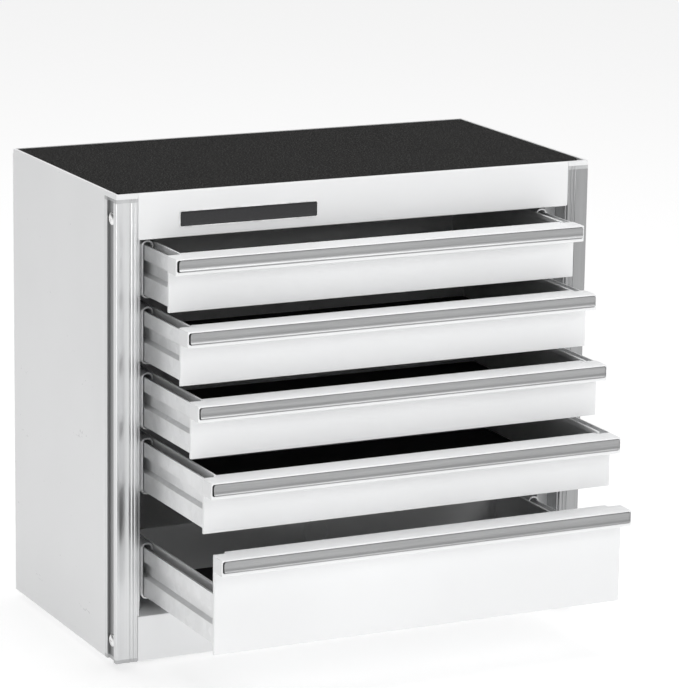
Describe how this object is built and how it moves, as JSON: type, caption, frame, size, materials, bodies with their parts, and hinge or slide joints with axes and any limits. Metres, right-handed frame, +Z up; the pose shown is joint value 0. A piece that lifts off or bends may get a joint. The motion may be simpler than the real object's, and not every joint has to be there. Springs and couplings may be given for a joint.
{
  "type": "bench tool chest",
  "caption": "Bench-top tool chest of folded white sheet steel with fluted corner posts and full-width drawers on ball-bearing slides, shown with its drawers pulled out in steps.",
  "frame": {"origin": "centre of the rest pose's bounding box, on the surface that the feet stand on; the front plane of the corner posts is at y = -0.04175 and the case is centred on x = 0", "axes": "+Z up, +X to the right seen from the front, +Y to the back; the drawers open towards -Y"},
  "size_m": [0.41, 0.3524, 0.377],
  "materials": {
    "case_paint": "smooth white powder coat, satin",
    "front_paint": "smooth white powder coat, satin",
    "tray_paint": "light grey powder coat, satin",
    "post_aluminium": "extruded, fine die lines along the length",
    "strip_aluminium": "brushed along the length",
    "slide_zinc": "bright zinc plate",
    "ball_steel": "polished steel balls in a plated strip",
    "mat_rubber": "fine leather grain, matt",
    "liner_foam": "fine grain, matt",
    "cap_plastic": "white moulded",
    "screw_steel": "bright zinc plate",
    "foot_rubber": "matt black",
    "badge_dark": "dark enamel, plain, no lettering"
  },
  "bodies": {
    "chest": {"left_side_panel": "case_paint", "right_side_panel": "case_paint", "back_panel": "case_paint", "top_panel": "case_paint", "floor_panel": "case_paint", "header_rail": "case_paint", "kick_plate": "case_paint", "left_post": "post_aluminium", "right_post": "post_aluminium", "left_uprights": "slide_zinc", "right_uprights": "slide_zinc", "top_mat": "mat_rubber", "blank_badge": "badge_dark", "post_end_caps": "cap_plastic", "post_screws": "screw_steel", "foot_screws": "screw_steel", "rail_rivets": "screw_steel", "rubber_feet": "foot_rubber", "cabinet_rails_1": "slide_zinc", "cabinet_rails_2": "slide_zinc", "cabinet_rails_3": "slide_zinc", "cabinet_rails_4": "slide_zinc", "cabinet_rails_5": "slide_zinc"},
    "drawer_1": {"drawer_1_tray": "tray_paint", "drawer_1_front": "front_paint", "drawer_1_pull": "strip_aluminium", "drawer_1_liner": "liner_foam", "drawer_1_rail_left": "slide_zinc", "drawer_1_rail_right": "slide_zinc"},
    "cages_1": {"ball_cages_1": "ball_steel"},
    "drawer_2": {"drawer_2_tray": "tray_paint", "drawer_2_front": "front_paint", "drawer_2_pull": "strip_aluminium", "drawer_2_liner": "liner_foam", "drawer_2_rail_left": "slide_zinc", "drawer_2_rail_right": "slide_zinc"},
    "cages_2": {"ball_cages_2": "ball_steel"},
    "drawer_3": {"drawer_3_tray": "tray_paint", "drawer_3_front": "front_paint", "drawer_3_pull": "strip_aluminium", "drawer_3_liner": "liner_foam", "drawer_3_rail_left": "slide_zinc", "drawer_3_rail_right": "slide_zinc"},
    "cages_3": {"ball_cages_3": "ball_steel"},
    "drawer_4": {"drawer_4_tray": "tray_paint", "drawer_4_front": "front_paint", "drawer_4_pull": "strip_aluminium", "drawer_4_liner": "liner_foam", "drawer_4_rail_left": "slide_zinc", "drawer_4_rail_right": "slide_zinc"},
    "cages_4": {"ball_cages_4": "ball_steel"},
    "drawer_5": {"drawer_5_tray": "tray_paint", "drawer_5_front": "front_paint", "drawer_5_pull": "strip_aluminium", "drawer_5_liner": "liner_foam", "drawer_5_rail_left": "slide_zinc", "drawer_5_rail_right": "slide_zinc"},
    "cages_5": {"ball_cages_5": "ball_steel"}
  },
  "joints": [
    {"name": "drawer_1_slide", "type": "slide", "parent": "chest", "child": "drawer_1", "axis": [0, -1, 0], "range_m": [-0.0339, 0.1061]},
    {"name": "cages_1_slide", "type": "slide", "parent": "chest", "child": "cages_1", "axis": [0, -1, 0], "range_m": [-0.01695, 0.05305]},
    {"name": "drawer_2_slide", "type": "slide", "parent": "chest", "child": "drawer_2", "axis": [0, -1, 0], "range_m": [-0.0566, 0.0834]},
    {"name": "cages_2_slide", "type": "slide", "parent": "chest", "child": "cages_2", "axis": [0, -1, 0], "range_m": [-0.0283, 0.0417]},
    {"name": "drawer_3_slide", "type": "slide", "parent": "chest", "child": "drawer_3", "axis": [0, -1, 0], "range_m": [-0.0765, 0.0635]},
    {"name": "cages_3_slide", "type": "slide", "parent": "chest", "child": "cages_3", "axis": [0, -1, 0], "range_m": [-0.03825, 0.03175]},
    {"name": "drawer_4_slide", "type": "slide", "parent": "chest", "child": "drawer_4", "axis": [0, -1, 0], "range_m": [-0.1012, 0.0388]},
    {"name": "cages_4_slide", "type": "slide", "parent": "chest", "child": "cages_4", "axis": [0, -1, 0], "range_m": [-0.0506, 0.0194]},
    {"name": "drawer_5_slide", "type": "slide", "parent": "chest", "child": "drawer_5", "axis": [0, -1, 0], "range_m": [-0.1212, 0.0188]},
    {"name": "cages_5_slide", "type": "slide", "parent": "chest", "child": "cages_5", "axis": [0, -1, 0], "range_m": [-0.0606, 0.0094]}
  ],
  "couplings": [
    {"joint": "cages_1_slide", "follows": "drawer_1_slide", "ratio": 0.5},
    {"joint": "cages_2_slide", "follows": "drawer_2_slide", "ratio": 0.5},
    {"joint": "cages_3_slide", "follows": "drawer_3_slide", "ratio": 0.5},
    {"joint": "cages_4_slide", "follows": "drawer_4_slide", "ratio": 0.5},
    {"joint": "cages_5_slide", "follows": "drawer_5_slide", "ratio": 0.5}
  ]
}
